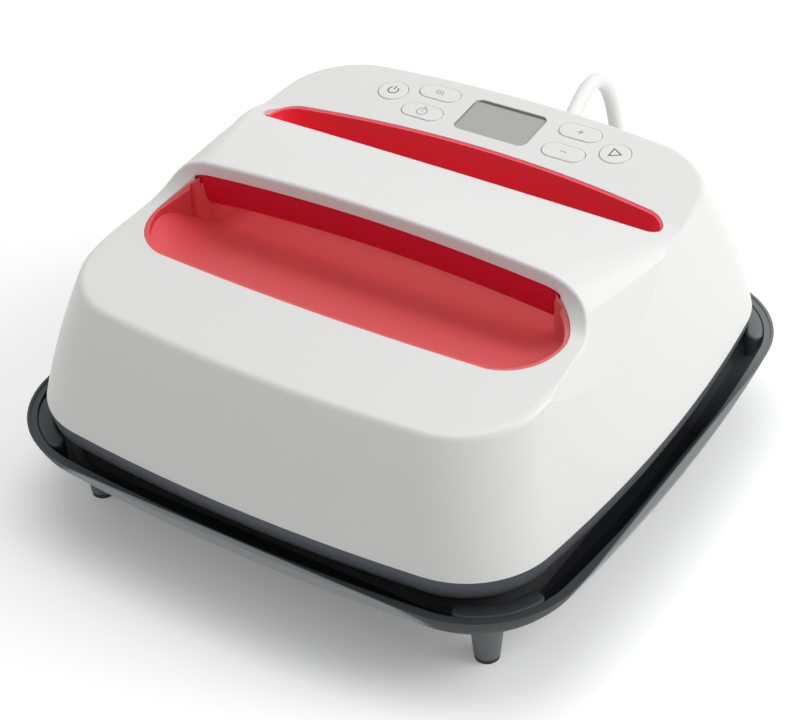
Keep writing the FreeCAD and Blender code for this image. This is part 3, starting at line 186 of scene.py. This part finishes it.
materialValues = {
    "whiteShell": {"colour": (0.74, 0.74, 0.732), "other": (0.725, 0.725, 0.718), "rough": 0.34,
                   "grainScale": 2600.0, "grainHeight": 0.000006, "mottle": 6.0},
    "whiteKey": {"colour": (0.75, 0.75, 0.742), "other": (0.735, 0.735, 0.728), "rough": 0.46,
                 "grainScale": 2600.0, "grainHeight": 0.000008},
    # liner: the trough's red made a little darker, as painted shade for the handle's shadowed
    # underside
    "linerRedWithPaintedShade": {"colour": (0.68, 0.006, 0.034), "other": (0.66, 0.006, 0.032), "rough": 0.5,
                 "specular": 0.2, "grainScale": 2400.0, "grainHeight": 0.000008, "mottle": 8.0},
    "footGrey": {"colour": (0.150, 0.156, 0.168), "other": (0.138, 0.144, 0.156), "rough": 0.5,
                 "grainScale": 1500.0, "grainHeight": 0.00003, "mottle": 9.0},
    "skirtGrey": {"colour": (0.098, 0.108, 0.126), "other": (0.088, 0.098, 0.115), "rough": 0.38,
                  "grainScale": 1500.0, "grainHeight": 0.00001, "mottle": 9.0},
    "padRubber": {"colour": (0.03, 0.03, 0.032), "rough": 0.75, "grainHeight": 0.00003},
    "matFelt": {"colour": (0.09, 0.09, 0.095), "other": (0.07, 0.07, 0.075), "rough": 0.95,
                "specular": 0.2, "grainScale": 700.0, "grainHeight": 0.0003, "mottle": 60.0},
    "zincSteel": {"colour": (0.62, 0.62, 0.64), "rough": 0.32, "metal": 1.0,
                  "grainHeight": 0.00001},
    "coatedPlate": {"colour": (0.10, 0.095, 0.092), "other": (0.085, 0.08, 0.078), "rough": 0.42,
                    "metal": 0.35, "grainScale": 1800.0, "grainHeight": 0.00003},
    "heatedSteel": {"colour": (0.36, 0.30, 0.24), "other": (0.28, 0.27, 0.30), "rough": 0.4,
                    "metal": 1.0, "mottle": 40.0},
    "rolledAluminium": {"colour": (0.78, 0.79, 0.80), "rough": 0.3, "metal": 1.0},
    "glassFibre": {"colour": (0.80, 0.77, 0.68), "other": (0.72, 0.69, 0.60), "rough": 0.95,
                   "specular": 0.2, "grainScale": 500.0, "grainHeight": 0.0004, "mottle": 80.0},
    "chassisBlack": {"colour": (0.025, 0.025, 0.027), "rough": 0.5},
    "boardGreen": {"colour": (0.02, 0.13, 0.06), "other": (0.018, 0.11, 0.05), "rough": 0.35,
                   "mottle": 120.0},
    "partBlack": {"colour": (0.03, 0.03, 0.033), "rough": 0.45},
    "canSleeve": {"colour": (0.10, 0.13, 0.30), "rough": 0.35},
    "clearSilicone": {"colour": (0.42, 0.43, 0.45), "rough": 0.5},
    "cordWhite": {"colour": (0.82, 0.82, 0.815), "other": (0.80, 0.80, 0.795), "rough": 0.45,
                  "grainScale": 1800.0, "grainHeight": 0.00001},
    "pinMetal": {"colour": (0.72, 0.68, 0.58), "rough": 0.25, "metal": 1.0},
    "displayFrame": {"colour": (0.30, 0.31, 0.29), "rough": 0.5, "grainHeight": 0},
    "iconGrey": {"colour": (0.20, 0.20, 0.205), "rough": 0.6, "grainHeight": 0},
    "iconDark": {"colour": (0.09, 0.09, 0.093), "rough": 0.6, "grainHeight": 0},
}
finishes = {name: finish(name, **values) for name, values in materialValues.items()}


# Trough: satin red, with a painted sheen that makes it paler on its open floor and painted light
# that makes it brighter behind the handle. A faint glow under the handle is painted light
# standing in for the even tone that the photograph shows there.
troughValues = {
    "red": (0.74, 0.012, 0.032), "pale": (0.66, 0.105, 0.110), "bright": (0.98, 0.052, 0.088),
    "rough": 0.42, "specular": 0.6, "paleEnd": (0.020, 0.000), "sheenLeftShare": 0.45,
    "sheenLeftFade": (-0.098, -0.060), "rearEdge": (0.034, 0.036), "glow": (0.26, 0.040, 0.043),
    "glowStart": (-0.034, -0.014), "glowHalf": (0.096, 0.080)}


def troughPaintedLightFinish(values):
    material, flow, surface = newMaterial("troughRed")
    along, across = axisOf(flow, "Y"), axisOf(flow, "X")
    # painted sheen: paler over the open floor towards the front, weaker at the left end
    front = ramp(flow, along, *values["paleEnd"])
    sheenLeftShare = values["sheenLeftShare"]
    share = front * (sheenLeftShare + (1 - sheenLeftShare) * ramp(flow, across, *values["sheenLeftFade"]))
    colour = tinted(flow, values["red"], values["pale"], share)
    # painted light: brighter red on the rear wall behind the handle
    colour = tinted(flow, colour, values["bright"], ramp(flow, along, *values["rearEdge"]))
    # painted light: a glow under the handle's front that lifts the shade there
    under = front * ramp(flow, along, *values["glowStart"])
    under = under * ramp(flow, flow.maths("ABSOLUTE", across), *values["glowHalf"])
    setSurface(flow, surface, Base_Color=colour, Roughness=values["rough"],
               Specular_IOR_Level=values["specular"],
               Emission_Color=tinted(flow, (0, 0, 0), values["glow"], under),
               Emission_Strength=1.0)
    return material


# Tray: mid grey outside and on the rim, with painted shade darkening the inner walls and ridges,
# less so at the back
trayValues = {
    "grey": (0.250, 0.256, 0.268), "dark": (0.012, 0.013, 0.015), "rough": 0.55,
    "square": 0.092, "reach": 0.0462, "lean": 0.62, "level": 0.045, "soften": 0.0008,
    "litFrom": (0.04, 0.09), "litShare": 0.6, "grainScale": 1500.0, "grainHeight": 0.00003}


def trayPaintedShadeFinish(values):
    material, flow, surface = newMaterial("trayGrey")
    sides = []
    for letter in "XY":
        side = flow.maths("ABSOLUTE", axisOf(flow, letter)) - values["square"]
        side = flow.maths("MAXIMUM", side, 0.0)
        sides.append(side * side)
    reach = flow.maths("SQRT", sides[0] + sides[1])
    wall = values["reach"] - values["lean"] * (values["level"] - axisOf(flow, "Z"))
    # painted shade: the inner walls and ridges darkened, lessened towards the back where light
    # reaches
    inner = ramp(flow, wall - reach, 0.0, values["soften"])
    lit = values["litShare"] * ramp(flow, axisOf(flow, "Y"), *values["litFrom"])
    shaded = inner * (1.0 - lit)
    setSurface(flow, surface, Base_Color=tinted(flow, values["grey"], values["dark"], shaded),
               Roughness=values["rough"],
               Normal=fineBump(flow, values["grainScale"], values["grainHeight"]))
    return material


# Display: grey glass with painted shade along its edges, most of all at the far edge
displayValues = {
    "glass": (0.375, 0.375, 0.362), "edge": (0.10, 0.10, 0.10), "rough": 0.3,
    "middle": 0.08305, "slope": 0.118, "halfWidth": 0.01915, "halfDepth": 0.01235,
    "farShade": 0.0016, "nearShade": 0.0005, "sideShade": 0.0008}


def displayPaintedShadeFinish(values):
    material, flow, surface = newMaterial("displayGlass")
    across = axisOf(flow, "X")
    tilt = math.sqrt(1 + values["slope"] ** 2)
    along = (axisOf(flow, "Y") - values["middle"]) * tilt
    half, reach = values["halfDepth"], values["halfWidth"]
    # painted shade along the window's edges, widest at the far edge
    far = ramp(flow, along, half - values["farShade"], half - values["farShade"] / 2)
    near = ramp(flow, along, values["nearShade"] - half, -half)
    left = ramp(flow, across, values["sideShade"] - reach, -reach)
    right = ramp(flow, across, reach - values["sideShade"], reach)
    ends = flow.maths("MAXIMUM", far, near)
    shade = flow.maths("MAXIMUM", ends, flow.maths("MAXIMUM", left, right))
    setSurface(flow, surface, Base_Color=tinted(flow, values["glass"], values["edge"], shade),
               Roughness=values["rough"])
    return material


finishes["displayGlass"] = displayPaintedShadeFinish(displayValues)
finishes["troughRed"] = troughPaintedLightFinish(troughValues)
finishes["trayGrey"] = trayPaintedShadeFinish(trayValues)

dress = {
    "trayGrey": ["base_tray"], "footGrey": ["tray_feet"], "matFelt": ["insulation_mat"],
    "padRubber": ["foot_pads"],
    "zincSteel": ["foot_screws", "element_clamps", "clamp_screws", "plate_posts", "sensor_screw",
                  "chassis_screws", "cover_screws", "power_board_screws", "board_screws"],
    "whiteShell": ["upper_shell"], "troughRed": ["grip_trough"], "linerRedWithPaintedShade": ["grip_liner"],
    "skirtGrey": ["lower_skirt"], "coatedPlate": ["heat_plate"],
    "heatedSteel": ["heating_element"], "pinMetal": ["temperature_sensor", "plug_pins"],
    "canSleeve": ["filter_capacitor"],
    "rolledAluminium": ["heat_shield", "board_heat_sink", "thermal_fuse"],
    "glassFibre": ["insulation_blanket"], "chassisBlack": ["inner_chassis"],
    "boardGreen": ["power_board", "control_board"],
    "partBlack": ["power_relay", "mains_terminal"],
    "whiteKey": ["key_power", "key_heat", "key_timer", "key_plus", "key_minus", "key_start"],
    "clearSilicone": ["key_mat"], "displayGlass": ["display_lens"],
    "displayFrame": ["lcd_module"],
    "cordWhite": ["cord_gland", "cord_lead", "cord_coil", "plug_body"],
}


def dressMesh(mesh, finishName):
    mesh.materials.clear()
    mesh.materials.append(finishes[finishName])


for finishName, names in dress.items():
    for name in names:
        dressMesh(nodes[name].data, finishName)
print("CAD nodes dressed")


def newPiece(name, mesh, finishName):
    piece = bpy.data.objects.new(name, mesh)
    scene.collection.objects.link(piece)
    dressMesh(mesh, finishName)
    return piece


def meshOf(thing):
    ready = thing.evaluated_get(bpy.context.evaluated_depsgraph_get())
    shape = bpy.data.meshes.new_from_object(ready)
    bpy.data.objects.remove(thing)
    return shape


# Cord: out of the gland, over in an arch, down to the floor and into the put-away coil behind
# the press. The lead and the coil are in millimetres.
cordValues = {
    "diameter": 8 * mm, "start": (-3.39 * mm, 153.78 * mm, 90.77 * mm),
    "lead": [(-5.23, 166.93, 96.08), (-8.2, 185.5, 100.3), (-11.2, 203.6, 95.2),
             (-12.9, 217.6, 83.0), (-14.2, 227.8, 66.2), (-15.4, 235.3, 48.9),
             (-18.1, 242.5, 32.7), (-25.8, 250.1, 19.8), (-38.0, 257.0, 10.8),
             (-51.5, 260.6, 5.6), (-66.0, 261.0, 4.1), (-76.7, 261.0, 4.1)],
    "blendEnd": (-0.0184, 0.2425, 0.0327),
    "coilRadius": 58.5, "coilPitch": 8.6, "coilLayer": 8.7, "turns": 5.0, "climbTurns": 0.5,
    "pointsPerTurn": 16, "coilMiddle": (-85.0, 202.5, 4.1), "plugRun": 36.0,
    "lengthSteps": 10, "roundSteps": 5}


def coilPoint(values, turn):
    half = values["turns"] / 2
    radius = values["coilRadius"] - values["coilPitch"] * (half - abs(turn - half))
    climbTurns = values["climbTurns"]
    climb = min(1.0, max(0.0, (turn - half + climbTurns / 2) / climbTurns))
    lift = values["coilLayer"] * climb * climb * (3 - 2 * climb)  # smooth at both ends
    angle = math.pi / 2 + 2 * math.pi * turn
    middle = Vector(values["coilMiddle"])
    return middle + Vector((radius * math.cos(angle), radius * math.sin(angle), lift))


def cordRoute(values):
    spread = 1 / math.cos(math.pi / values["pointsPerTurn"])
    route = [Vector(values["start"]) / mm] + [Vector(p) for p in values["lead"]]
    count = int(values["turns"] * values["pointsPerTurn"])
    middle = Vector(values["coilMiddle"])
    for i in range(1, count):
        point = coilPoint(values, i / values["pointsPerTurn"])
        flat = Vector((point.x - middle.x, point.y - middle.y, 0)) * spread
        route.append(Vector((middle.x + flat.x, middle.y + flat.y, point.z)))
    last = coilPoint(values, values["turns"])
    route += [last, last - Vector((values["plugRun"], 0, 0))]
    return [p * mm for p in route]


def cordCurve(name, route, thickness, values):
    data = bpy.data.curves.new(name, "CURVE")
    data.dimensions = "3D"
    data.resolution_u = values["lengthSteps"]
    line = data.splines.new("NURBS")
    line.points.add(len(route) - 1)
    for point, place in zip(line.points, route):
        point.co = (place.x, place.y, place.z, 1)
    line.order_u = 3
    line.use_endpoint_u = True
    data.bevel_depth = thickness / 2
    data.bevel_resolution = values["roundSteps"]
    data.use_fill_caps = bool(thickness)
    thing = bpy.data.objects.new(name, data)
    scene.collection.objects.link(thing)
    return thing


def makeCord(values):
    route = cordRoute(values)
    path = [v.co.copy() for v in meshOf(cordCurve("cordPath", route, 0, values)).vertices]
    tube = meshOf(cordCurve("cordTube", route, values["diameter"], values))
    for face in tube.polygons:
        face.use_smooth = True
    piece = newPiece("mainsCord", tube, "cordWhite")
    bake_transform(piece)
    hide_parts("cord_lead", "cord_coil")


makeCord(cordValues)
print("cord laid")


# Printed marks on the keys: thin lines, a hair above the key's face, in millimetres
panelValues = {"middle": (0, 83.05, 131.87), "slope": 0.118, "keyTop": 0.35, "line": 0.42,
               "boldLine": 0.62, "bold": ("power", "start"), "proud": 0.03, "sunk": 0.05}
keyPlaces = {"power": (-59.2, 0.9), "heat": (-37.5, 8.4), "timer": (-37.5, -8.0),
             "plus": (37.5, 8.4), "minus": (37.5, -8.0), "start": (59.2, 0.9)}


def arcLine(middle, radius, start, end, steps=24):
    angles = [math.radians(start + (end - start) * i / steps) for i in range(steps + 1)]
    return [(middle[0] + radius * math.cos(a), middle[1] + radius * math.sin(a)) for a in angles]


def waveLine(x, low, high, swing, steps=16):
    return [(x + swing * math.sin(2 * math.pi * i / steps), low + (high - low) * i / steps)
            for i in range(steps + 1)]


def triangle(radius, shift):
    corners = [math.radians(a) for a in (0, 120, 240, 0)]
    return [(radius * math.cos(a) - shift, radius * math.sin(a)) for a in corners]


iconLines = {
    "power": [arcLine((0, 0), 2.5, 125, 415), [(0, 0.6), (0, 3.4)]],
    "heat": [waveLine(x, -1.6, 1.6, 0.35) for x in (-1.5, 0, 1.5)],
    "timer": [arcLine((0, -0.3), 2.5, 0, 360), [(0, -0.3), (0, 1.1)], [(-0.8, 3.2), (0.8, 3.2)],
              [(1.9, 2.2), (2.4, 2.7)]],
    "plus": [[(-1.6, 0), (1.6, 0)], [(0, -1.6), (0, 1.6)]],
    "minus": [[(-1.6, 0), (1.6, 0)]],
    "start": [triangle(3.3, 0.3)],
}


def panelMatrix(values):
    tilt = math.atan(values["slope"])
    return Matrix.Translation(Vector(values["middle"]) * mm) @ Matrix.Rotation(tilt, 4, "X")


def ribbon(points, width, sharpest=0.35):
    # flat strip along the points, mitred at its corners but for the sharpest ones
    closed = math.dist(points[0], points[-1]) < 1e-6
    line = points[:-1] if closed else points
    count = len(line)
    left, right = [], []
    for i in range(count):
        before = line[i - 1] if (closed or i > 0) else line[i]
        after = line[(i + 1) % count] if (closed or i < count - 1) else line[i]
        one = Vector(line[i]) - Vector(before)
        two = Vector(after) - Vector(line[i])
        one = one.normalized() if one.length else two.normalized()
        two = two.normalized() if two.length else one
        along = (one + two).normalized()
        side = Vector((-along.y, along.x)) * (width / 2 / max(sharpest, along.dot(one)))
        left.append(Vector(line[i]) + side)
        right.append(Vector(line[i]) - side)
    faces = []
    for i in range(count if closed else count - 1):
        j = (i + 1) % count
        faces.append((i, count + i, count + j, j))
    return left + right, faces


def makeIcon(name, lines, values):
    corners, faces = [], []
    low = values["keyTop"] - values["sunk"]
    high = values["keyTop"] + values["proud"]
    bold = name in values["bold"]
    for points in lines:
        flat, strips = ribbon(points, values["boldLine"] if bold else values["line"])
        first = len(corners)
        count = len(flat)
        corners += [(p.x, p.y, high) for p in flat] + [(p.x, p.y, low) for p in flat]
        faces += [tuple(first + i for i in strip) for strip in strips]
        faces += [tuple(first + count + i for i in reversed(strip)) for strip in strips]
        edges = [pair for strip in strips for pair in zip(strip, strip[1:] + strip[:1])]
        faces += [(first + b, first + a, first + count + a, first + count + b)
                  for a, b in edges if (b, a) not in edges]
    mesh = bpy.data.meshes.new(name)
    x, y = keyPlaces[name]
    place = panelMatrix(values)
    mesh.from_pydata([place @ (Vector((x + p[0], y + p[1], p[2])) * mm) for p in corners],
                     [], faces)
    mesh.update()
    piece = newPiece(name + "Mark", mesh, "iconDark" if bold else "iconGrey")
    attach(piece, name + "_key")


for name, lines in iconLines.items():
    makeIcon(name, lines, panelValues)
print("key marks made")


# Floor: a plain pale sheet; what the camera sees of it is lifted to white outside the shadow
floorValues = {"colour": (0.98, 0.98, 0.98), "rough": 0.9, "specular": 0.1, "lift": 0.16,
               "reach": 6.0}


def seenDirectly(flow):
    # one for rays from the camera and for those mirrored or let through on their way
    seen = flow.node("ShaderNodeLightPath", output="Is Camera Ray")
    for name in ("Is Glossy Ray", "Is Transmission Ray"):
        seen = flow.maths("MAXIMUM", seen, flow.node("ShaderNodeLightPath", output=name))
    return seen


def makeFloor(values):
    material, flow, surface = newMaterial("floorWhite")
    setSurface(flow, surface, Base_Color=rgba(values["colour"]), Roughness=values["rough"],
               Specular_IOR_Level=values["specular"],
               Emission_Color=seenDirectly(flow) * values["lift"], Emission_Strength=1.0)
    mesh = bpy.data.meshes.new("floor")
    reach = values["reach"]
    corners = [(-reach, -reach, 0), (reach, -reach, 0), (reach, reach, 0), (-reach, reach, 0)]
    mesh.from_pydata(corners, [], [(0, 1, 2, 3)])
    mesh.materials.append(material)
    floor = bpy.data.objects.new("floor", mesh)
    scene.collection.objects.link(floor)


makeFloor(floorValues)
print("floor laid")


# Light: a pale room, a large soft light from the right and behind, and one from above
lightValues = {
    "horizon": 0.29, "zenith": 0.50, "aim": (0, 0, 0.08),
    "keyLight": {"place": (1.15, 0.50, 0.95), "size": 1.0, "power": 12.5},
    "topLight": {"place": (-0.15, 0.15, 1.6), "size": 1.2, "power": 9.0},
}


def makeLight(name, values):
    lamp = values[name]
    data = bpy.data.lights.new(name, "AREA")
    data.shape = "SQUARE"
    data.size = lamp["size"]
    data.energy = lamp["power"]
    light = bpy.data.objects.new(name, data)
    scene.collection.objects.link(light)
    light.location = lamp["place"]
    aim = Vector(values["aim"]) - Vector(lamp["place"])
    light.rotation_euler = aim.to_track_quat("-Z", "Y").to_euler()


def makeRoom(horizon, zenith):
    world = bpy.data.worlds.new("paleRoom")
    scene.world = world
    world.use_nodes = True
    flow = Flow(world.node_tree)
    back = next(n for n in world.node_tree.nodes if n.type == "BACKGROUND")
    back.inputs["Color"].default_value = (1, 1, 1, 1)
    height = flow.maths("MAXIMUM", axisOf(flow, "Z"), 0.0)
    strength = horizon + (zenith - horizon) * height
    level = strength + seenDirectly(flow) * (1.0 - strength)
    flow.feed(back.inputs["Strength"], level)


makeRoom(lightValues["horizon"], lightValues["zenith"])
makeLight("keyLight", lightValues)
makeLight("topLight", lightValues)
scene.view_settings.view_transform = "Standard"
print("stage lit")
